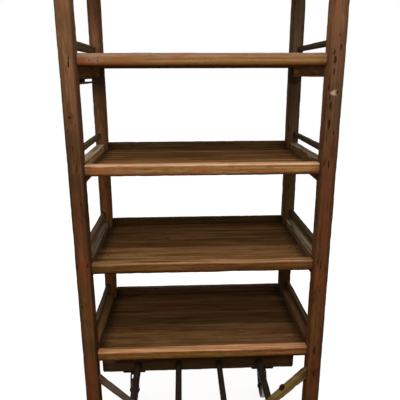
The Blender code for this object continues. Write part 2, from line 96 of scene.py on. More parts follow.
# Oak, sawn and hand planed, stained brown a long time ago: the stain lies dark in the open grain and is
# uneven in hue, the rubbed arrises show pale bare wood, dirt has gathered at the joints, and the splits are
# dark with dirt and painted shade; on the posts the arrises are painted dark as shade
oakLook = dict(
    # pattern: size along the grain and across it in mm, octaves
    patterns={
        "streak": (240, 4.6, 4),    # stain drawn out along the grain
        "band": (420, 24, 3),    # heartwood and sapwood take the stain differently
        "pore": (24, 1.7, 2),    # open pores, drawn about four times too coarse so that they show
        "blotch": (130, 80, 2),    # handling and spills
        "smudge": (60, 20, 3),    # small stains and scuffs
        "ragged": (50, 7, 3)},    # the broken edge of what is rubbed off
    fineness=0.6,    # how much the finer octaves count
    ringMm=4.2,    # growth rings, drawn a little wide so that they show
    waveMm=314.16,    # a wave of scale 1 repeats at this distance
    ringStretch=0.05,    # the rings run nearly straight along the grain
    ringWander={"Distortion": 5.0, "Detail": 2.0, "Detail Scale": 0.35},
    stainAt=(0.3, 0.5, 0.7),    # dark, middle and light stain along the streak pattern
    # values of a pattern at which a layer starts and is full, where the layer names none itself
    layerSpans={"band": (0.5, 0.68), "blotch": (0.5, 0.64), "smudge": (0.54, 0.68),
                "ragged": (0.46, 0.32), "ring": (0.55, 0.95), "pore": (0.54, 0.7)},
    speckMm=(46.0, 17.0),    # one small dent or worm hole in some of the cells of this size
    speckShare=(0.75, 0.77),    # share of the cells without one
    speckEdge=(0.17, 0.08),    # its soft rim, as a share of the cell
    speckStrength=0.8,
    reach=(0.0, -0.6, 0.8),    # hands and shoes come from the front and above
    rubFrom=-0.2, rubTo=0.9,    # how squarely a face meets them before it is rubbed
    rubArris=(0.1, 0.4), rubTop=0.25,    # rubbed off on arrises, and on level tops, which also carry a painted highlight
    rubWidth=0.004, rubBroken=1.4, rubPatchy=(0.36, 0.56, 0.25, 1.0), rubLevel=(0.5, 0.95),
    rubUpper=(-0.1, 0.5),    # rubbed above this share of the timber's height
    bareStreaks=(0.36, 0.62),
    lowTint=(-0.2, -1.0, "#FFFFFF"),    # a tint that grows from one share of the height to the other
    dirt="#1E130B", dirtMm=26.0, dirtBroken=0.012, dirtStrength=0.5,    # spread from a joint
    grime="#33291B", grimeSmudged=(0.25, 0.6, 0.9, 0.35),    # scuffs, and painted shade along the posts' outer arrises and under a shelf
    fresh="#AE937A",    # wood bared by a fresh chip
    splitMm=1.4, splitStrength=0.94,    # deeper than this below the face is inside a split, painted dark with dirt and shade
    poreAt=(0.35, 0.7), poreRough=(-0.07, 0.13), poreSink=0.7,
    bumpMm=0.35, bumpStrength=0.6,
    rough=0.64, ior=1.5, specular=0.0)    # dry, dusty stain has no sheen


def oakMaterial(name, base=oakLook, **changes):
    material, add = newMaterial(name)
    look = {**base, **changes}

    # where the point lies in its own timber, in metres along the grain and across it
    place, halfSize, pith = [add("Attribute", attribute_name=attribute)["Vector"]
                             for attribute in ("place", "halfSize", "pith")]
    tone, upper, chipped, greasy = [add("Attribute", attribute_name=attribute)["Fac"]
                                    for attribute in ("tone", "upper", "chipped", "greasy")]
    grain = add("VectorMath ADD", (place, pith))[0]

    patterns = {}
    for pattern, (along, across, octaves) in look["patterns"].items():
        perMetre = (1000 / along, 1000 / across, 1000 / across)
        scaled = add("VectorMath MULTIPLY", (grain, perMetre))[0]
        patterns[pattern] = add("TexNoise", {
            "Vector": scaled, "Scale": 1.0, "Detail": octaves, "Roughness": look["fineness"]})["Fac"]
    drawnOut = add("VectorMath MULTIPLY", (grain, (look["ringStretch"], 1.0, 1.0)))[0]
    patterns["ring"] = add("TexWave", {
        "Vector": drawnOut, "Scale": look["waveMm"] / look["ringMm"], **look["ringWander"],
    }, wave_type="RINGS", rings_direction="X")["Fac"]

    # stain from dark to light along the streaks, then each layer over it: pattern, strength, tint
    stops = list(zip(look["stainAt"], look["stain"]))
    colour = add("ValToRGB", {"Fac": patterns["streak"]}, stops=stops)["Color"]
    for pattern, strength, tint, *span in look["layers"]:
        span = span or look["layerSpans"][pattern]
        mask = add("MapRange", (patterns[pattern], *span, 0.0, strength), **smooth)[0]
        colour = add("Mix", {0: mask, 6: colour, 7: tint}, data_type="RGBA")[2]
    colour = add("VectorMath SCALE", {0: colour, "Scale": tone})[0]
    start, stop, tint = look["lowTint"]
    lower = add("MapRange", (upper, start, stop), **smooth)[0]
    shade = add("Mix", {0: lower, 6: "#FFFFFF", 7: tint}, data_type="RGBA")[2]
    colour = add("VectorMath MULTIPLY", (colour, shade))[0]

    # dents and worm holes: dark dots in some cells of a coarse pattern
    along, across = look["speckMm"]
    perMetre = (1000 / along, 1000 / across, 1000 / across)
    cells = add("VectorMath MULTIPLY", (grain, perMetre))[0]
    speck = add("TexVoronoi", {"Vector": cells, "Scale": 1.0})
    chosen = add("SeparateXYZ", (speck["Color"],))[0]
    inside = add("MapRange", (speck["Distance"], *look["speckEdge"]))[0]
    picked = add("MapRange", (chosen, *look["speckShare"], 0.0, look["speckStrength"]))[0]
    dots = add("Math MULTIPLY", (inside, picked))[0]

    # distance in from the faces: small to two faces at once is an arris, large to both is a split
    absolute = add("VectorMath ABSOLUTE", (place,))[0]
    inward = add("VectorMath SUBTRACT", (halfSize, absolute))[0]
    fromEnd, fromU, fromV = add("SeparateXYZ", (inward,))
    fromArris = add("Math MAXIMUM", (fromU, fromV))[0]
    below = add("Math MINIMUM", (fromU, fromV))[0]

    # rubbing: strongest on arrises and tops that hands and shoes reach from the front; the pale tops are
    # partly a painted highlight, and on the posts the arris tint is painted shade
    normal = add("NewGeometry")["Normal"]
    facing = add("VectorMath DOT_PRODUCT", (normal, look["reach"]))["Value"]
    up = add("SeparateXYZ", (normal,))[2]
    width = look["rubWidth"]
    ragged = patterns["ragged"]
    broken = add("Math MULTIPLY_ADD", (ragged, -look["rubBroken"] * width, fromArris))[0]
    edge = add("MapRange", (broken, width / 2, -width / 2), **smooth)[0]
    reached = add("MapRange", (facing, look["rubFrom"], look["rubTo"], *look["rubArris"]), **smooth)[0]
    arrisRub = add("Math MULTIPLY", (edge, reached))[0]
    raised = add("MapRange", (upper, *look["rubUpper"]), **smooth)[0]
    arrisRub = add("Math MULTIPLY", (arrisRub, raised))[0]
    patchy = add("MapRange", (patterns["streak"], *look["rubPatchy"]), **smooth)[0]
    topRub = add("MapRange", (up, *look["rubLevel"], 0.0, look["rubTop"]), **smooth)[0]
    topRub = add("Math MULTIPLY", (topRub, patchy))[0]
    rub = add("Math MAXIMUM", (arrisRub, topRub))[0]
    streaky = add("MapRange", (patterns["streak"], *look["bareStreaks"]))[0]
    bare = add("Mix", {0: streaky, 6: look["bare"][0], 7: look["bare"][1]}, data_type="RGBA")[2]
    bare = add("VectorMath SCALE", {0: bare, "Scale": tone})[0]
    smeared = add("MapRange", (patterns["smudge"], *look["grimeSmudged"]))[0]
    smeared = add("Math MULTIPLY", (smeared, greasy))[0]

    # dirt near the joints, and dirt with painted shade inside the splits
    nearEnd = add("Math MULTIPLY_ADD", (ragged, -look["dirtBroken"], fromEnd))[0]
    joint = add("MapRange", (nearEnd, look["dirtMm"] / 1000, 0.0, 0.0, look["dirtStrength"]), **smooth)[0]
    depth = look["splitMm"] / 1000
    split = add("MapRange", (below, depth / 2, depth, 0.0, look["splitStrength"]), **smooth)[0]
    dirty = add("Math MAXIMUM", (joint, split))[0]
    for mask, tint in ((dots, look["dirt"]), (rub, bare), (smeared, look["grime"]),
                       (chipped, look["fresh"]), (dirty, look["dirt"])):
        colour = add("Mix", {0: mask, 6: colour, 7: tint}, data_type="RGBA")[2]

    roughRange = [look["rough"] + more for more in look["poreRough"]]
    rough = add("MapRange", (patterns["pore"], *look["poreAt"], *roughRange))[0]
    sunk = add("Math MULTIPLY", (patterns["pore"], -look["poreSink"]))[0]
    height = add("Math ADD", (patterns["streak"], sunk))[0]
    bump = add("Bump", {
        "Height": height, "Strength": look["bumpStrength"], "Distance": look["bumpMm"] / 1000})[0]
    wood = add("BsdfPrincipled", {"Base Color": colour, "Roughness": rough, "Normal": bump,
                                  "IOR": look["ior"], "Specular IOR Level": look["specular"]})[0]
    add("OutputMaterial", {"Surface": wood})
    return material


postStain = dict(
    oakLook, stain=("#573928", "#694630", "#76543C"),
    layers=[
        ("band", 0.6, "#5B4930", 0.48, 0.64), ("blotch", 0.6, "#7E4A34", 0.5, 0.66),
        ("blotch", 0.6, "#4B3820", 0.46, 0.34), ("smudge", 0.6, "#452D1E"),
        ("smudge", 0.35, "#806148", 0.44, 0.32), ("pore", 0.35, "#2E1B10", 0.58, 0.74)],
    # the arris tint here is dark: painted shade on the posts' rounded arrises, not bare wood
    bare=("#4A3622", "#5E482E"), rubArris=(0.35, 0.55), rubFrom=-0.4, rubTop=0.2,
    rubWidth=0.0055, rubUpper=(-3.0, -2.0), lowTint=(0.75, -0.35, "#D9C2A8"), rough=0.62,
    dirt="#3A1B06", grime="#302318")
postOak = oakMaterial("stained_sawn_oak", postStain)    # brown, with reddish and olive patches
rearPostOak = oakMaterial(    # dust has greyed the brown
    "greyed_sawn_oak", postStain, stain=("#4F3B2A", "#604A36", "#6C5741"),
    layers=[
        ("band", 0.45, "#524836"), ("blotch", 0.45, "#6A4935"), ("smudge", 0.55, "#402E21"),
        ("pore", 0.35, "#2A1C12", 0.58, 0.74)],
    lowTint=(0.75, -0.35, "#D9CBB8"), grime="#2A1C12")
railLook = dict(
    oakLook, stain=("#59361F", "#885D39", "#A57D4D"),
    layers=[
        ("band", 0.75, "#755A28", 0.48, 0.64), ("blotch", 0.55, "#8C5230", 0.5, 0.66),
        ("ragged", 0.5, "#A8863F", 0.54, 0.7), ("ragged", 0.4, "#7A4528"), ("ring", 0.25, "#5A3519"),
        ("pore", 0.5, "#3A200F", 0.52, 0.66)],
    # the pale level tops are partly worn bare and partly a painted highlight of the light from above
    bare=("#B28260", "#D0A682"), rubArris=(0.0, 0.95), rubTop=0.85,
    # lowTint: painted shade, darker towards the lower edge of the rail's face
    rubWidth=0.0065, rubUpper=(0.0, 0.6), lowTint=(-0.2, -0.95, "#9A7666"),
    speckStrength=0.45, dirt="#2A190D", dirtStrength=0.25, rough=0.58, splitMm=3.6)
railOak = oakMaterial("rubbed_stained_oak", railLook)    # a pale upper arris over mottled brown
oliveRailOak = oakMaterial(    # greener, and rubbed in a wide band
    "rubbed_olive_stained_oak", railLook, stain=("#6A4628", "#92683E", "#A98254"),
    layers=[
        ("band", 0.75, "#8A6C38", 0.46, 0.6), ("blotch", 0.7, "#945638", 0.5, 0.62),
        ("smudge", 0.5, "#9A745C", 0.54, 0.7), ("ring", 0.15, "#6A4426"), ("pore", 0.4, "#4A2C18")],
    bare=("#876450", "#AA8774"), rubWidth=0.01)
warmRailOak = oakMaterial(    # redder, and nearly clean
    "rubbed_warm_stained_oak", railLook, stain=("#5A3218", "#88562C", "#A5743C"), bare=("#A06C46", "#E6AE7C"),
    speckStrength=0.12)
rearOak = oakMaterial(    # dark brown: soot, and painted shade from the shelf above
    "sooted_stained_oak", stain=("#3F2C19", "#5B4125", "#735630"),
    layers=[("band", 0.5, "#554825", 0.52, 0.7), ("ring", 0.3, "#352416"), ("pore", 0.45, "#2C1F13")],
    bare=("#6C5337", "#876D4A"), rough=0.66)
sideOak = oakMaterial(    # grey and flaky along the top
    "weathered_stained_oak", stain=("#43301F", "#5C4630", "#735C40"),
    layers=[
        ("band", 0.6, "#564830"), ("blotch", 0.45, "#51381F", 0.52, 0.68),
        ("ragged", 0.4, "#867660", 0.56, 0.7), ("ragged", 0.4, "#31241A"), ("ring", 0.2, "#3A2818"),
        ("pore", 0.4, "#2B1C10")],
    bare=("#7E6F5A", "#A0937D"), rubArris=(0.15, 0.6), rubFrom=-0.3, rubTop=0.55, rough=0.66,
    lowTint=(0.3, -0.5, "#FFEAD2"), speckStrength=0.4)
lowSideOak = oakMaterial(    # brown with dirt off the floor
    "dirty_stained_oak", stain=("#4A301C", "#62432A", "#765638"),
    layers=[
        ("band", 0.5, "#564028"), ("blotch", 0.5, "#5E3820", 0.52, 0.68), ("ring", 0.2, "#3E2616"),
        ("pore", 0.4, "#2B1A0E")],
    bare=("#6E5036", "#8A6A4A"), rubFrom=-0.3, rough=0.66, speckStrength=0.4)
guardOak = oakMaterial(    # an even, dull grey brown
    "handled_stained_oak", stain=("#42311F", "#5C4832", "#715D42"),
    layers=[("band", 0.55, "#564A31"), ("ring", 0.2, "#3C2C1D"), ("pore", 0.4, "#2D1E12")],
    bare=("#6B5B46", "#89765A"), rubArris=(0.1, 0.5), rubTop=0.35, speckStrength=0.4)
deckOak = oakMaterial(    # broad soft streaks, scuffed by shoes
    "worn_oak_deck_boards", stain=("#5A3A1C", "#74502D", "#8B643A"),
    patterns=dict(oakLook["patterns"], streak=(240, 15, 3), band=(320, 40, 3), blotch=(150, 60, 3)),
    layers=[
        ("band", 0.6, "#593F20", 0.48, 0.64), ("blotch", 0.7, "#74422A"),
        ("blotch", 0.45, "#4E3219", 0.46, 0.34), ("ring", 0.08, "#4A2E14"), ("pore", 0.4, "#32200F")],
    bare=("#8C6840", "#B48E60"), rubTop=0.15, rubWidth=0.005, dirtStrength=0.6)
bolsterOak = oakMaterial(    # nearly black, red where it is scraped, and darker on its upper part as painted shadow under the rail
    "greased_dark_oak", stain=("#48321F", "#553D25", "#664B2E"),
    layers=[("band", 0.45, "#53472B"), ("ring", 0.3, "#3C2515"), ("pore", 0.4, "#332313")],
    bare=("#A5653E", "#DA8C55"), rubArris=(0.1, 0.55), rubFrom=0.0, rubTop=0.3, rough=0.6,
    lowTint=(-0.2, 0.9, "#9E939E"), grime="#715C46")
braceOak = oakMaterial(    # back to a yellowish brown
    "scrubbed_oak", stain=("#4A3819", "#6C542C", "#876C3F"),
    layers=[
        ("band", 0.5, "#5E4F29"), ("blotch", 0.4, "#54361A", 0.54, 0.68), ("ring", 0.35, "#433116"),
        ("pore", 0.5, "#2E1F0D")],
    bare=("#8A7146", "#A48A59"), rubArris=(0.1, 0.6), rubTop=0.4, splitMm=8.0)
leftBraceOak = oakMaterial(    # scrubbed too, and gone grey
    "greyed_scrubbed_oak", postStain, stain=("#4B3C33", "#5C4B41", "#68574C"),
    layers=[
        ("band", 0.45, "#50473F"), ("blotch", 0.45, "#62493C"), ("smudge", 0.55, "#3D2E26"),
        ("pore", 0.35, "#2A1D15", 0.58, 0.74)],
    lowTint=(0.75, -0.35, "#E4DCD4"))
print("oak materials made")

# Iron: forged black bar with mill scale, and grey castings; both are dull with brown rust in patches,
# and the treads are worn bright by the floor
ironLook = dict(
    patterns={"scale": (9, 4), "grain": (1.3, 2), "rust": (26, 5)},    # size in mm, octaves
    fineness=0.6, metalAt=(0.3, 0.7), oxideAt=(0.35, 0.65), rustEdge=0.14, rustMost=0.9,
    rustRough=0.88, wornPolish=0.2, bumpMm=0.25, bumpStrength=0.5, specular=0.05)    # oxide is matt


def ironMaterial(name, **changes):
    material, add = newMaterial(name)
    look = {**ironLook, **changes}
    place = add("TexCoord")["Object"]
    patterns = {}
    for pattern, (size, octaves) in look["patterns"].items():
        patterns[pattern] = add("TexNoise", {
            "Vector": place, "Scale": 1000 / size, "Detail": octaves, "Roughness": look["fineness"]})["Fac"]
    stops = list(zip(look["metalAt"], look["metal"]))
    metal = add("ValToRGB", {"Fac": patterns["scale"]}, stops=stops)["Color"]
    worn = add("Attribute", attribute_name="worn")["Fac"]
    metal = add("Mix", {0: worn, 6: metal, 7: look["bright"]}, data_type="RGBA")[2]
    start, most = look["rustFrom"], look["rustMost"]
    rust = add("MapRange", (patterns["rust"], start, start + look["rustEdge"], 0.0, most), **smooth)[0]
    unworn = add("Math SUBTRACT", (1.0, worn))[0]
    rust = add("Math MULTIPLY", (rust, unworn))[0]
    stops = list(zip(look["oxideAt"], look["rust"]))
    oxide = add("ValToRGB", {"Fac": patterns["grain"]}, stops=stops)["Color"]
    colour = add("Mix", {0: rust, 6: metal, 7: oxide}, data_type="RGBA")[2]
    bareMetal = add("MapRange", (rust, 0.0, most, look["metallic"], 0.0))[0]
    rough = add("MapRange", (rust, 0.0, most, look["rough"], look["rustRough"]))[0]
    polished = add("Math MULTIPLY_ADD", (worn, -look["wornPolish"], rough))[0]
    height = add("Math ADD", (patterns["grain"], patterns["scale"]))[0]
    bump = add("Bump", {
        "Height": height, "Strength": look["bumpStrength"], "Distance": look["bumpMm"] / 1000})[0]
    iron = add("BsdfPrincipled", {"Base Color": colour, "Metallic": bareMetal, "Roughness": polished,
                                  "Normal": bump, "Specular IOR Level": look["specular"]})[0]
    add("OutputMaterial", {"Surface": iron})
    return material


blackIron = ironMaterial(    # black scale, brown at the rust
    "forged_black_iron", metal=("#17120D", "#271F17"), bright="#5A544E", rust=("#28190F", "#402917"),
    rustFrom=0.5, metallic=0.6, rough=0.56)
rodIron = ironMaterial(    # sooty and hardly metallic
    "smoked_rusty_bar_iron", metal=("#19110B", "#291D13"), bright="#4A423A", rust=("#20130A", "#382214"),
    rustFrom=0.46, metallic=0.3, rough=0.7)
castIron = ironMaterial(    # grey, with bright treads
    "cast_grey_iron", metal=("#26221F", "#413B36"), bright="#8A857E", rust=("#3A2012", "#5C351C"),
    rustFrom=0.52, metallic=0.9, rough=0.55)
nailIron = ironMaterial(    # mostly brown rust
    "rusted_cut_nail_iron", metal=("#1C1511", "#2B2019"), bright="#4C443C", rust=("#24140B", "#3C2212"),
    rustFrom=0.42, metallic=0.7, rough=0.6)
print("iron materials made")


# Timbers: every wooden piece is a bar with its grain along one axis, rounded and nicked arrises and
# faces that are not quite flat
timberLook = dict(
    ringStep=0.008,    # a ring of points every 8 mm along the grain
    flatStep=0.01,    # and every 10 mm across a face
    planeWave=0.00035,    # how far the plane left a face out of true
    planeRates=(9, 35),    # its waves per metre, along and across
    arrisDent=0.0013,    # depth of the deepest nicks in an arris
    nickRate=70, nickFrom=0.1, scoopRate=16, scoopShare=0.8,    # short nicks, long scoops
    # greaseReach and greaseEdge set the band of painted shade along a post's outer arris
    greaseReach=0.014, greaseEdge=0.01, innerEdge=0.02, innerFace=0.001)


def addObject(name, data):
    item = bpy.data.objects.new(name, data)
    bpy.context.scene.collection.objects.link(item)
    return item


def meshFrom(bm):
    mesh = bpy.data.meshes.new("mesh")
    bm.to_mesh(mesh)
    bm.free()
    return mesh


def bridgeRings(bm, rings, capped=False):
    for near, far in zip(rings, rings[1:]):
        count = max(len(near), len(far))
        for i in range(count):
            j = (i + 1) % count
            around = (near[i % len(near)], near[j % len(near)], far[j % len(far)], far[i % len(far)])
            bm.faces.new(list(dict.fromkeys(around)))    # a triangle beside a ring of one point
    if capped:
        bm.faces.new(list(reversed(rings[0])))
        bm.faces.new(rings[-1])


def sectionOutline(width, height, arris, steps):
    points = []
    for corner in range(4):
        centreU = (-1, 1, 1, -1)[corner] * (width / 2 - arris)
        centreV = (-1, -1, 1, 1)[corner] * (height / 2 - arris)
        for step in range(steps + 1):
            angle = pi + (corner + step / steps) * pi / 2
            out = Vector((cos(angle), sin(angle)))
            points.append((Vector((centreU, centreV)) + out * arris, out, corner))
        flat = (width, height)[corner % 2] - 2 * arris
        if flat < 1e-6:
            points.pop()    # a round bar: the next corner starts here
            continue
        count = max(2, round(flat / timberLook["flatStep"]))
        way = Vector(((1, 0), (0, 1), (-1, 0), (0, -1))[corner])
        face = Vector((way.y, -way.x))
        start = points[-1][0]
        for step in range(1, count):
            points.append((start + way * flat * step / count, face, None))
    return points


def timberMesh(bar):
    look = timberLook
    length, width, height = bar["size"]
    outline = sectionOutline(width, height, bar["arris"], bar["arrisSteps"])
    ease, mitre, taper = bar["ease"], bar["mitre"], bar["taper"]
    dent = look["arrisDent"] * bar["dents"]
    alongRate, acrossRate = look["planeRates"]
    inner = length - sum(ease)
    count = max(3, round(inner / look["ringStep"]))
    stations = [(-length / 2, ease[0])]
    stations += [(-length / 2 + ease[0] + inner * step / count, 0.0) for step in range(count + 1)]
    stations += [(length / 2, ease[1])]
    seed = bar["seed"] * 17.31    # odd steps keep the bars and their arrises apart in the noise
    bm = bmesh.new()
    rings = []
    for along, inset in stations:
        share = along / length + 0.5
        ring = []
        for point, out, corner in outline:
            spot = (along * alongRate + seed, point.x * acrossRate, point.y * acrossRate)
            push = noise.noise(spot) * look["planeWave"]
            if corner is not None:
                nick = noise.noise((along * look["nickRate"], corner * 5.3 + seed, 0.4))
                scoop = noise.noise((along * look["scoopRate"], corner * 9.1 + seed, 3.7))
                push -= dent * (max(0.0, nick - look["nickFrom"]) + look["scoopShare"] * max(0.0, scoop))
            u = (point.x + out.x * push) * (1 - 2 * inset / width)
            v = (point.y + out.y * push) * (1 - 2 * inset / height)
            u *= taper[0] * (1 - share) + taper[1] * share
            reach = along + (mitre[0] * (1 - share) + mitre[1] * share) * u
            ring.append(bm.verts.new(bar["centre"] + bar["axes"] @ Vector((reach, u, v))))
        rings.append(ring)
    bridgeRings(bm, rings, capped=True)
    return meshFrom(bm)


def writePlace(mesh, bar):
    # every point carries its place in the bar, how dark and chipped the wood is there, and how much smear and
    # painted shade it takes
    look = timberLook
    toBar = bar["axes"].transposed()
    halfSize = [x / 2 for x in bar["size"]]
    halfRise = sum(abs(way) * size / 2 for way, size in zip(bar["axes"][2], bar["size"]))
    fade = bar["fade"]
    places, numbers = [], []
    for vertex in mesh.vertices:
        spot = vertex.co
        place = toBar @ (spot - bar["centre"])
        tone, greasy = bar["tone"], 0.0
        if bar["greasySide"]:    # painted shade, full at the outer arris and gone at its reach in from there
            across = place.y * bar["greasySide"]
            outer = min(1.0, (across - halfSize[1] + look["greaseReach"]) / look["greaseEdge"])
            strength, reach = bar["innerGrime"]
            inner = min(strength, (reach - halfSize[1] - across) / look["innerEdge"])
            greasy = max(0.0, outer, inner)
            # innerTone paints the inner face lighter, standing in for light that the lamps don't bring there
            if across < look["innerFace"] - halfSize[1]:
                tone *= bar["innerTone"]
        # a box painted with the smear tint: painted shadow on the rear posts, a pale scuff on the rear
        # bolster
        if bar["smeared"]:
            low, high = bar["smeared"]
            greasy = 1.0 if all(low[i] < spot[i] < high[i] for i in range(3)) else greasy
        for (lower, start), (upper, stop) in zip(fade, fade[1:]):
            if lower <= spot.z < upper:
                share = (spot.z - lower) / (upper - lower)
                tone *= start + (stop - start) * share
        chipped = any((spot - centre).length < size for centre, size in bar["chips"])
        places.extend(place)
        numbers.append((tone, float(chipped), (spot.z - bar["centre"].z) / halfRise, greasy))
    count = len(numbers)
    vectors = {"place": places, "halfSize": halfSize * count, "pith": list(bar["pith"]) * count}
    for name, values in vectors.items():
        mesh.attributes.new(name, "FLOAT_VECTOR", "POINT").data.foreach_set("vector", values)
    for name, values in zip(("tone", "chipped", "upper", "greasy"), zip(*numbers)):
        mesh.attributes.new(name, "FLOAT", "POINT").data.foreach_set("value", values)


def joined(meshes):
    bm = bmesh.new()
    for mesh in meshes:
        bm.from_mesh(mesh)
    return meshFrom(bm)


def cutAway(mesh, cutters):
    base = addObject("base", mesh)
    tool = addObject("tool", joined(cutters))
    modifier = base.modifiers.new("cut", "BOOLEAN")
    modifier.object = tool
    modifier.operation = "DIFFERENCE"
    modifier.solver = "EXACT"
    modifier.use_self = True    # splits may run into each other
    bpy.context.view_layer.update()
    result = bpy.data.meshes.new_from_object(base.evaluated_get(bpy.context.evaluated_depsgraph_get()))
    for item in (base, tool):
        bpy.data.objects.remove(item)
    return result


def boxMesh(low, high):
    bm = bmesh.new()
    size = Vector(high) - Vector(low)
    middle = (Vector(high) + Vector(low)) / 2
    bmesh.ops.create_cube(bm, size=1.0, matrix=Matrix.Translation(middle) @ Matrix.Diagonal((*size, 1.0)))
    return meshFrom(bm)


def addPiece(name, mesh, material, body, replaced=(), sharpDegrees=38):
    mesh.name = name
    mesh.materials.clear()
    mesh.materials.append(material)
    mesh.polygons.foreach_set("use_smooth", [True] * len(mesh.polygons))
    mesh.set_sharp_from_angle(angle=radians(sharpDegrees))
    mesh.update()
    piece = addObject(name, mesh)
    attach(piece, body)
    if replaced:
        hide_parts(*replaced)


draw = random.Random(41)    # every draw comes from here, in the order of the pieces
# what a bar has unless it is told otherwise: ease is the chamfer at its two ends, and the inner dark band has
# a strength and a width
barLook = dict(
    arrisSteps=3, ease=(0.001, 0.001), mitre=(0.0, 0.0), taper=(1.0, 1.0), dents=1.0, cutters=(), fade=(),
    chips=(), smeared=None, greasySide=0, innerGrime=(0.0, 0.0), innerTone=1.0)


def barInBox(low, high, axis, arris, tone=1.0, spread=(0.92, 1.08), **more):
    order = {"X": (0, 1, 2), "Y": (1, 2, 0), "Z": (2, 0, 1)}[axis]
    axes = Matrix([[1.0 if order[column] == row else 0.0 for column in range(3)] for row in range(3)])
    size = [high[i] - low[i] for i in order]
    angle = draw.uniform(0, 2 * pi)
    pithAway = draw.uniform(0.03, 0.11)    # distance of the tree's heart from the middle of the bar
    pith = Vector((draw.uniform(-40, 40), pithAway * cos(angle), pithAway * sin(angle)))
    tone *= draw.uniform(*spread)
    return {"centre": (Vector(low) + Vector(high)) / 2, "axes": axes, "size": size, "arris": arris,
            "pith": pith, "tone": tone, "seed": draw.uniform(0, 50), **barLook, **more}


def addTimber(bars, material, node=None, name=None):
    meshes = []
    for bar in bars:
        mesh = timberMesh(bar)
        if bar["cutters"]:
            mesh = cutAway(mesh, bar["cutters"])
        writePlace(mesh, bar)
        meshes.append(mesh)
    mesh = meshes[0] if len(meshes) == 1 else joined(meshes)
    addPiece(name or f"{node}_timber", mesh, material, "rack", [node] if node else [])


# Posts: old nail holes and drying splits are real cuts in the faces that show
postLook = dict(
    arris=0.0035, ends=(0.001, 0.006),    # chamfers at the foot and the head
    splitDepth=0.003, splitGrow=1.35,    # cut wider than they look, since their rims are soft
    splitPoints=10, splitRagged=(0.75, 1.1), splitBottom=(0.45, 0.8), cutterProud=0.004,
    chipDepth=0.0006, chipShare=0.45,
    soot=((-1.0, -1.0, 1.155), (1.0, 1.0, 1.23)),    # painted shadow: the rear posts are black there, in the shade under the fourth shelf's side boards
    # the tone changes with height: in each fade, heights and what the tone is multiplied by there; on the
    # rear-left post the dip from 1.135 to 1.25 m is painted shadow under the fourth shelf, and its high tone
    # paints light onto a face that the lamps leave in shade
    posts={
        "front_left": dict(tone=1.08, innerGrime=(0.4, 0.012), fade=[
            (0.1, 0.95), (0.39, 0.95), (0.587, 1.22), (0.845, 0.74), (1.1, 0.96), (1.29, 1.22), (1.6, 1.22)]),
        # the inner face is painted lighter, as light it doesn't get
        "front_right": dict(tone=0.94, innerTone=1.55, fade=[
            (0.1, 0.95), (0.366, 0.95), (0.569, 1.13), (0.834, 0.8), (1.1, 0.8), (1.294, 1.03), (1.6, 1.03)]),
        "rear_left": dict(tone=2.15, innerGrime=(1.0, 0.013), fade=[
            (0.1, 0.7), (0.5, 0.7), (0.7, 1.12), (0.76, 1.12), (0.82, 1.0), (1.06, 1.0), (1.1, 0.9),
            (1.135, 0.6), (1.17, 0.52), (1.235, 0.5), (1.25, 0.88), (1.6, 0.88)]),
        "rear_right": dict(tone=1.18, fade=[
            (0.1, 0.55), (0.5, 0.55), (0.7, 1.0), (0.85, 1.0), (1.0, 0.9), (1.12, 0.9), (1.25, 1.0),
            (1.6, 1.0)])})
# front faces: share across the face from its left edge, height, length, width
frontSplits = {
    "front_left": [
        (0.65, 1.2225, 0.01, 0.0035), (0.62, 1.209, 0.0145, 0.0048), (0.42, 1.09, 0.0045, 0.0105),
        (0.48, 1.0174, 0.012, 0.0024), (0.24, 1.0566, 0.0095, 0.002), (0.76, 1.0705, 0.009, 0.002),
        (0.66, 0.9694, 0.016, 0.0042), (0.16, 0.7104, 0.014, 0.0034), (0.88, 0.7146, 0.015, 0.0034),
        (0.24, 0.5969, 0.005, 0.0095)],
    "front_right": [
        (0.24, 1.2345, 0.012, 0.0052), (0.32, 1.2178, 0.0175, 0.008), (0.3, 1.1916, 0.0125, 0.0044),
        (0.64, 1.2458, 0.0145, 0.0048), (0.22, 1.0689, 0.02, 0.0085), (0.59, 1.049, 0.0095, 0.003),
        (0.14, 1.0359, 0.012, 0.0022), (0.13, 0.9755, 0.015, 0.0032), (0.39, 0.9716, 0.02, 0.0044),
        (0.15, 0.711, 0.02, 0.0034), (0.37, 0.7037, 0.0225, 0.003), (0.34, 0.4436, 0.025, 0.0075),
        (0.45, 0.3732, 0.019, 0.0065), (0.14, 1.133, 0.012, 0.005), (0.22, 1.113, 0.018, 0.0056),
        (0.62, 1.145, 0.009, 0.0042)]}
frontChips = {"front_right": [(0.34, 1.1432, 0.0032, 0.0062)]}


def splitCutter(centre, length, width, depth):
    bm = bmesh.new()
    points = postLook["splitPoints"]
    narrow, short = postLook["splitBottom"]
    outline = []
    for step in range(points):
        angle = step * pi / (points / 2)
        ragged = draw.uniform(*postLook["splitRagged"])
        outline.append((cos(angle) * width / 2 * ragged, sin(angle) * length / 2 * ragged))
    near = [bm.verts.new(centre + Vector((x, -postLook["cutterProud"], z))) for x, z in outline]
    far = [bm.verts.new(centre + Vector((x * narrow, depth, z * short))) for x, z in outline]
    bridgeRings(bm, [near, far], capped=True)
    bmesh.ops.recalc_face_normals(bm, faces=bm.faces)
    return meshFrom(bm)


for corner in corners:
    low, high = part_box(f"{corner}_post")
    low.z = bolsterTop
    cutters, chips = [], []
    for marks, grow, depth in ((frontSplits, postLook["splitGrow"], postLook["splitDepth"]),
                               (frontChips, 1.0, postLook["chipDepth"])):
        for across, height, length, width in marks.get(corner, ()):
            centre = Vector((low.x + (high.x - low.x) * across, low.y, height))
            cutters.append(splitCutter(centre, length * grow, width * grow, depth))
            if marks is frontChips:
                chips.append((centre, max(length, width) * postLook["chipShare"]))
    bar = barInBox(
        low, high, "Z", postLook["arris"], ease=postLook["ends"], cutters=cutters, chips=chips,
        greasySide=sides[corner.split("_")[1]],    # painted shade along the outer arrises
        smeared=postLook["soot"] if corner.startswith("rear") else None, **postLook["posts"][corner])
    oak = rearPostOak if corner == "rear_right" else postOak
    addTimber([bar], oak, f"{corner}_post")
print("posts made")

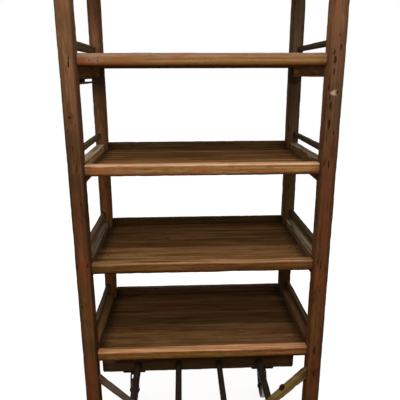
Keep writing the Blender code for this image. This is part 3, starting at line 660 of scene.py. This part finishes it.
# Shelves: rubbed rails, weathered side boards and guards, tongued boards with dark joints between them
shelfLook = dict(
    railArris=0.0042, sideArris=0.0025, guardArris=0.003, clearance=0.0004,
    railOak={1: warmRailOak, 2: warmRailOak, 3: railOak, 4: oliveRailOak, 5: railOak},
    frontTone={1: 0.88, 2: 0.46, 3: 1.02, 4: 0.75, 5: 0.9},    # some are rubbed and cleaned more
    rearTone={1: 0.82, 2: 0.58, 3: 1.05, 4: 1.0, 5: 1.0},
    # left and right; tones well above 1 paint light onto inner faces that the lamps leave in shade
    sideTone={1: (0.92, 0.77), 2: (0.95, 1.3), 3: (2.75, 1.45), 4: (1.6, 1.9), 5: (1.0, 1.0)},
    guardTone={1: (0.75, 0.5), 2: (1.15, 0.65), 3: (1.1, 0.64), 4: (1.25, 0.7), 5: (1.0, 1.0)},
    # lower edges, left rough and sagging, but for three laths that are planed straight
    boardDrop=0.004, guardDrop=0.007, straightGuards=[(3, "left"), (3, "right"), (4, "right")],
    dirtySides=[1],
    boardCount=5, boardArris=0.0014, boardGap=0.0024, boardLift=(-0.0005, 0.0003),
    deckTone={1: 0.57, 2: 0.85, 3: 1.28, 4: 1.0, 5: 1.0}, boardSpread=(0.97, 1.03),
    boardTone=(1.05, 0.94, 0.54, 0.6, 0.68),    # painted shade: the rear boards darker, as the shelf above shades them
    tongue=(0.008, 0.003), tongueDrop=0.001, tongueArris=0.0005, tongueTone=0.3)
clearance = shelfLook["clearance"]
sideFront, sideRear = frontPostBack + clearance, rearPostFront - clearance


def boxBetween(node, axis, start, stop):
    low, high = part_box(node)
    low[axis], high[axis] = start, stop
    return low, high


for number in shelfNumbers:
    shelf = f"shelf_{number}"
    for end, oak in (("front", shelfLook["railOak"][number]), ("rear", rearOak)):
        node = f"{shelf}_{end}_rail"
        low, high = boxBetween(node, 0, -postInnerX + clearance, postInnerX - clearance)
        bar = barInBox(low, high, "X", shelfLook["railArris"], shelfLook[f"{end}Tone"][number])
        addTimber([bar], oak, node)
    boardOak = lowSideOak if number in shelfLook["dirtySides"] else sideOak
    for index, side in enumerate(sides):
        guardDrop = 0.0 if (number, side) in shelfLook["straightGuards"] else shelfLook["guardDrop"]
        for kind, name, oak, drop in (("side_board", "side", boardOak, shelfLook["boardDrop"]),
                                      ("guard", "guard", guardOak, guardDrop)):
            node = f"{shelf}_{side}_{kind}"
            low, high = boxBetween(node, 1, sideFront, sideRear)
            low.z -= drop
            bar = barInBox(low, high, "Y", shelfLook[f"{name}Arris"], shelfLook[f"{name}Tone"][number][index])
            addTimber([bar], oak, node)

    # deck boards between the rails, the last one notched round the rear posts
    low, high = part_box(f"{shelf}_deck")
    pitch = (high.y - low.y) / shelfLook["boardCount"]
    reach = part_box(f"{shelf}_right_side_board")[0].x - clearance
    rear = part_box(f"{shelf}_rear_rail")[0].y - clearance
    boards = []
    for index, tone in enumerate(shelfLook["boardTone"]):
        seam = low.y + pitch * index
        start = max(sideFront, seam + shelfLook["boardGap"] / 2)
        stop = min(rear, low.y + pitch * (index + 1) - shelfLook["boardGap"] / 2)
        lift = draw.uniform(*shelfLook["boardLift"])
        bar = barInBox((-reach, start, low.z), (reach, stop, high.z + lift), "X", shelfLook["boardArris"],
                       tone * shelfLook["deckTone"][number], shelfLook["boardSpread"])
        if stop > rearPostFront:
            notch = postInnerX - clearance
            bar["cutters"] = [boxMesh((-1, sideRear, 0), (-notch, 1, 2)),
                              boxMesh((notch, sideRear, 0), (1, 1, 2))]
        boards.append(bar)
        if index:
            width, height = shelfLook["tongue"]
            middle = (low.z + high.z) / 2 - shelfLook["tongueDrop"]
            bar = barInBox((-reach, seam - width / 2, middle - height / 2),
                           (reach, seam + width / 2, middle + height / 2), "X", shelfLook["tongueArris"])
            bar["tone"] = shelfLook["tongueTone"]
            boards.append(bar)
    addTimber(boards, deckOak, f"{shelf}_deck", f"{shelf}_deck_boards")

# a thin lath hangs under one side board, packed off it near the front post, with a strip along the board
lathLook = dict(
    thick=0.0055, width=0.014, height=1.1655, packFrom=0.095, packTo=0.12, strip=0.0045, arris=0.0012,
    seat=0.0005, tone=1.1)
low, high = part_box("shelf_4_left_side_board")
middle = (low.x + high.x) / 2
boardUnder = low.z - shelfLook["boardDrop"]
half, thick, seat = lathLook["width"] / 2, lathLook["thick"], lathLook["seat"]
under = lathLook["height"] - thick / 2
lath = barInBox((middle - half, sideFront, under), (middle + half, sideRear, under + thick), "Y",
                lathLook["arris"])
pack = barInBox((middle - half, sideFront + lathLook["packFrom"], under + thick - seat),
                (middle + half, sideFront + lathLook["packTo"], boardUnder + seat), "Y", lathLook["arris"])
lath["tone"] = pack["tone"] = lathLook["tone"]
strip = {**lath, "size": [lath["size"][0], lathLook["strip"] + 2 * seat, lath["size"][2]],
         "centre": Vector((middle, (sideFront + sideRear) / 2, boardUnder - lathLook["strip"] / 2 + seat))}
addTimber([lath, pack, strip], sideOak, name="shelf_4_left_under_lath")
print("shelves made")

# Bolsters and knee braces
truckLook = dict(
    bolsterArris=0.005, bolsterEase=(0.004, 0.004),
    scuff=((-1.0, -1.0, 0.152), (-0.307, 1.0, 0.2)),    # one end is scuffed pale
    braceArris=0.0025, braceWidth={"left": 0.012, "right": 0.022},
    braceOak={"left": leftBraceOak, "right": braceOak},
    # both are wider at the post, and one is hewn rough
    braces={"left": dict(tone=1.04, taper=(1.5, 1.0)),
            "right": dict(tone=1.06, taper=(1.25, 1.0), dents=3.2)})
for end in ("front", "rear"):
    low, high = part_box(f"{end}_bolster")
    bar = barInBox(low, high, "X", truckLook["bolsterArris"], ease=truckLook["bolsterEase"],
                   smeared=truckLook["scuff"] if end == "rear" else None)
    addTimber([bar], bolsterOak, f"{end}_bolster")
braceLines = {}
for side, sign in sides.items():
    node = f"{side}_knee_brace"
    low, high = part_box(node)
    width = truckLook["braceWidth"][side]
    rise = high.z - low.z - width / sqrt(2)    # from the middle of one cut to the middle of the other
    outer = max(abs(low.x), abs(high.x))
    along = Vector((-sign, 0, -1)).normalized()
    across = Vector((0, 1, 0)).cross(along)
    mitre = (-across.x / along.x, -across.z / along.z)
    bar = barInBox(low, high, "X", truckLook["braceArris"], mitre=mitre, **truckLook["braces"][side])
    bar["centre"] = Vector((sign * (outer - rise / 2), (low.y + high.y) / 2, low.z + rise / 2))
    bar["axes"] = Matrix((along, across, along.cross(across))).transposed()
    bar["size"] = [rise * sqrt(2), width, high.y - low.y]
    braceLines[side] = (bar["centre"], along, across if across.z > 0 else -across, width)
    addTimber([bar], truckLook["braceOak"][side], node)
print("bolsters and braces made")


# Turned iron: a profile of (radius, height) spun about an axis
def turnedMesh(profile, segments, centre, axis, closed=False, wornFrom=inf):
    bm = bmesh.new()
    centre, axis = Vector(centre), Vector(axis)
    toAxis = Vector((0, 0, 1)).rotation_difference(axis).to_matrix()
    rings = []
    for radius, height in profile:
        ring = []
        for step in range(segments if radius else 1):
            angle = 2 * pi * step / segments
            point = Vector((radius * cos(angle), radius * sin(angle), height))
            ring.append(bm.verts.new(centre + toAxis @ point))
        rings.append(ring)
    bridgeRings(bm, rings + rings[:1] if closed else rings)
    bmesh.ops.recalc_face_normals(bm, faces=bm.faces)
    mesh = meshFrom(bm)
    arms = [vertex.co - centre for vertex in mesh.vertices]
    worn = [float((arm - axis * arm.dot(axis)).length > wornFrom) for arm in arms]
    mesh.attributes.new("worn", "FLOAT", "POINT").data.foreach_set("value", worn)
    return mesh


# Tie rods: hammered round bars, flared where they meet the bolsters
rodLook = dict(
    extra=(0.0025, 0.0012, 0.0006, 0.0018),    # the outer bars are stouter
    flat=1e-7, quarterSteps=8, dents=0.5, seat=0.004, flare=0.0024, flareDepth=0.012, flareSegments=32)
for number, extra in enumerate(rodLook["extra"], 1):
    node = f"tie_rod_{number}"
    low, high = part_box(node)
    low, high = low - Vector((extra, 0, extra)), high + Vector((extra, 0, extra))
    radius = (high.z - low.z) / 2
    middle = (low + high) / 2
    low.y, high.y = frontPostBack - rodLook["seat"], rearPostFront + rodLook["seat"]
    arris = radius - rodLook["flat"]    # nothing but arris, so that the section is round
    bar = barInBox(low, high, "Y", arris, arrisSteps=rodLook["quarterSteps"], dents=rodLook["dents"])
    meshes = [timberMesh(bar)]
    meshes[0].attributes.new("worn", "FLOAT", "POINT")
    outer, depth, hidden = radius + rodLook["flare"], rodLook["flareDepth"], radius * 0.9
    profile = [(hidden, -0.001), (outer, -0.001), (outer, 0.002), (outer - 0.0012, 0.004),
               (radius + 0.0016, depth * 0.5), (radius + 0.0005, depth * 0.8), (hidden, depth)]
    for face, way in ((frontPostBack, 1), (rearPostFront, -1)):
        place = (middle.x, face, middle.z)
        meshes.append(turnedMesh(profile, rodLook["flareSegments"], place, (0, way, 0), closed=True))
    addPiece(f"{node}_bar", joined(meshes), rodIron, "rack", [node])
print("tie rods made")

# Casters: cast wheels turned on the tread, forged forks and plates, square-headed plate screws
casterLook = dict(
    segments=96, hubRadius=0.0112, rimInner=0.034, webHalf=0.004, treadIn=0.002,
    wornIn=0.0006, bevel=0.0006, bevelSegments=2, bevelDegrees=40, plate=0.004,
    screwRadius=0.0052, screwProud=0.0036, screwShank=0.0028, screwFromEdge=0.009)
for corner in corners:
    low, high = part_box(f"{corner}_caster_wheel")
    middle = (low + high) / 2
    tyre = middle.z - low.z
    hubHalf = (high.x - low.x) / 2
    tread = hubHalf - casterLook["treadIn"]
    hub, rim, web = casterLook["hubRadius"], casterLook["rimInner"], casterLook["webHalf"]
    # one half from the bore over hub, web and rim to the middle of the tread
    half = [(0.0053, hubHalf - 0.0006), (0.006, hubHalf), (hub - 0.0006, hubHalf), (hub, hubHalf - 0.0008),
            (hub + 0.0008, web + 0.0022), (hub + 0.0022, web + 0.0006), (hub + 0.0045, web),
            (rim - 0.004, web), (rim - 0.0015, web + 0.0008), (rim, web + 0.0028),
            (rim + 0.0012, tread - 0.0005), (rim + 0.0022, tread), (tyre - 0.0024, tread),
            (tyre - 0.0008, tread - 0.0009), (tyre - 0.0001, tread - 0.0026), (tyre, 0.0)]
    profile = half + [(radius, -height) for radius, height in reversed(half[:-1])]
    wheel = turnedMesh(profile, casterLook["segments"], middle, (1, 0, 0), closed=True,
                       wornFrom=tyre - casterLook["wornIn"])
    addPiece(f"{corner}_cast_wheel", wheel, castIron, f"{corner}_wheel",
             [f"{corner}_caster_wheel"])
    for kind in ("plate", "fork"):
        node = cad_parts[f"{corner}_caster_{kind}"]
        for slot in node.material_slots:
            slot.material = blackIron
        bevel = node.modifiers.new("worn_edges", "BEVEL")
        bevel.width = casterLook["bevel"]
        bevel.segments = casterLook["bevelSegments"]
        bevel.limit_method = "ANGLE"
        bevel.angle_limit = radians(casterLook["bevelDegrees"])
    low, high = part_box(f"{corner}_caster_plate")
    margin = casterLook["screwFromEdge"]
    head, proud, shank = casterLook["screwRadius"], casterLook["screwProud"], casterLook["screwShank"]
    profile = [(0.0, -0.002), (shank, -0.002), (shank, 0.0002), (head, 0.0002), (head, proud * 0.7),
               (head * 0.8, proud), (0.0, proud)]
    screws = []
    for x in (low.x + margin, high.x - margin):
        for y in (low.y + margin, high.y - margin):
            turn = Matrix.Rotation(draw.uniform(0, pi), 4, "Z")
            screw = turnedMesh(profile, 4, (0, 0, 0), (0, 0, -1))
            screw.transform(Matrix.Translation((x, y, high.z - casterLook["plate"])) @ turn)
            screws.append(screw)
    addPiece(f"{corner}_plate_screws", joined(screws), blackIron, "rack", sharpDegrees=30)
print("casters made")

# Nails in the boards and rails, and round-headed bolts through the braces
nailLook = dict(
    segments=14, radius=0.0029, proud=0.0005, seat=0.0004,
    fromEnd=0.024, fromRail=0.006, boardShares=(0.28, 0.74), wander=0.004,
    # in the front rails: places across, below the top edge, and smaller heads
    railNails={1: (0.26,), 2: (0.254,), 3: (), 4: (-0.2647, -0.2452), 5: (-0.26, 0.26)},
    railDrop=0.018, railWander=0.002, railSeat=0.0002, railShare=0.55,
    # from the middle of the brace towards its foot, head radius and height
    braceBolts={"left": [(0.11, 0.0055, 0.0048)],
                "right": [(-0.05125, 0.0105, 0.0058), (0.105, 0.0068, 0.006)]})


def roundHead(place, way, radius, proud):
    profile = [(0.0, -0.002), (radius * 0.6, -0.002), (radius, -0.0003), (radius, proud * 0.35),
               (radius * 0.82, proud * 0.75), (radius * 0.45, proud * 0.97), (0.0, proud)]
    return turnedMesh(profile, nailLook["segments"], place, way)


radius, proud, seat = nailLook["radius"], nailLook["proud"], nailLook["seat"]
for number in shelfNumbers:
    low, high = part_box(f"shelf_{number}_deck")
    pitch = (high.y - low.y) / shelfLook["boardCount"]
    reach, wander = postInnerX - nailLook["fromEnd"], nailLook["wander"]
    front = frontPostBack + nailLook["fromRail"]
    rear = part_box(f"shelf_{number}_rear_rail")[0].y - nailLook["fromRail"]
    heads = []
    for index in range(shelfLook["boardCount"]):
        for share in nailLook["boardShares"]:
            for x in (-reach, reach):
                place = (x + draw.uniform(-wander, wander), low.y + pitch * (index + share), high.z - seat)
                if front < place[1] < rear:
                    heads.append(roundHead(place, (0, 0, 1), radius, proud + seat))
    low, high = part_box(f"shelf_{number}_front_rail")
    wander = nailLook["railWander"]
    for x in nailLook["railNails"][number]:
        z = high.z - nailLook["railDrop"] + draw.uniform(-wander, wander)
        place = (x, low.y + nailLook["railSeat"], z)
        heads.append(roundHead(place, (0, -1, 0), radius * nailLook["railShare"], proud))
    addPiece(f"shelf_{number}_nails", joined(heads), nailIron, "rack", sharpDegrees=50)
for side, (centre, along, above, width) in braceLines.items():
    heads = []
    for offset, headRadius, headProud in nailLook["braceBolts"][side]:
        place = centre + along * offset + above * (width / 2 - seat)
        heads.append(roundHead(place, above, headRadius, headProud))
    addPiece(f"{side}_brace_bolts", joined(heads), nailIron, "rack", sharpDegrees=50)
print("fasteners made")

# Camera at the photograph's angle, found from the rack's own edges in the picture
cameraLook = dict(
    place=(-0.0539, -1.2919, 1.186), yaw=0.0413441, pitch=0.2716631, roll=0.0031115, lens=40.5, sensor=36.0)
cameraData = bpy.data.cameras.new("camera")
cameraData.lens = cameraLook["lens"]
cameraData.sensor_width = cameraLook["sensor"]
camera = addObject("camera", cameraData)
turn = Matrix.Rotation(pi / 2 - cameraLook["pitch"], 4, "X") @ Matrix.Rotation(-cameraLook["roll"], 4, "Z")
turn = Matrix.Rotation(-cameraLook["yaw"], 4, "Z") @ turn
camera.matrix_world = Matrix.Translation(cameraLook["place"]) @ turn
bpy.context.scene.camera = camera

# Stage: a pale floor that keeps the rack's shadow and pales with distance, a white surround, a soft light
# close in front of the rack and above it, so that the backs of the shelves fall dark, and weaker ones around
stageLook = dict(
    floorSize=9.0, floor="#827F7B", glow=(0.86, 1.0), nearFar=(0.55, 1.7), ambient=0.3,
    # place, height on the rack's middle that it aims at, size, power
    lights={
        "key_softbox": ((0.05, -1.55, 2.25), 0.9, 1.2, 35.0),
        "fill_softbox": ((0.1, -1.65, 0.95), 0.8, 1.0, 5.0),
        "right_softbox": ((2.0, 0.2, 1.4), 0.8, 1.2, 7.0),
        "left_softbox": ((-2.0, 0.2, 1.4), 0.8, 1.2, 6.0),
        "back_softbox": ((-0.2, 1.95, 1.15), 0.8, 1.2, 20.0)})


def seenDirectly(add):
    rays = add("LightPath")
    seen = add("Math MAXIMUM", (rays["Is Camera Ray"], rays["Is Glossy Ray"]))[0]
    return add("Math MAXIMUM", (seen, rays["Is Transmission Ray"]))[0]


floorMesh = bpy.data.meshes.new("floor")
reach = stageLook["floorSize"]
floorMesh.from_pydata([(-reach, -reach, 0), (reach, -reach, 0), (reach, reach, 0), (-reach, reach, 0)], [],
                      [(0, 1, 2, 3)])
floor = addObject("floor", floorMesh)
# Paper, matt and unglazed: it shows no reflection and runs into the surround without an edge
paper, add = newMaterial("matt_backdrop_paper")
matt = add("BsdfDiffuse", {"Color": stageLook["floor"]})[0]
away = add("VectorMath LENGTH", (add("NewGeometry")["Position"],))["Value"]
paled = add("MapRange", (away, *stageLook["nearFar"], *stageLook["glow"]), **smooth)[0]
lit = add("Math MULTIPLY", (seenDirectly(add), paled))[0]
both = add("AddShader", (matt, add("Emission", {"Strength": lit})[0]))[0]
add("OutputMaterial", {"Surface": both})
floorMesh.materials.append(paper)

world = bpy.data.worlds.new("studio")
bpy.context.scene.world = world
world.use_nodes = True
world.node_tree.nodes.clear()
add = partial(addNode, world.node_tree)
soft = add("Background", {"Color": "#FFFFFF", "Strength": stageLook["ambient"]})[0]
clear = add("Background", {"Color": "#FFFFFF", "Strength": 1.0})[0]
add("OutputWorld", {"Surface": add("MixShader", (seenDirectly(add), soft, clear))[0]})

for name, (place, aim, size, power) in stageLook["lights"].items():
    lightData = bpy.data.lights.new(name, "AREA")
    lightData.size = size
    lightData.energy = power
    light = addObject(name, lightData)
    light.location = place
    light.rotation_mode = "QUATERNION"
    light.rotation_quaternion = (Vector((0, 0, aim)) - light.location).to_track_quat("-Z", "Y")
bpy.context.scene.view_settings.view_transform = "Standard"
print("stage, light and camera made")
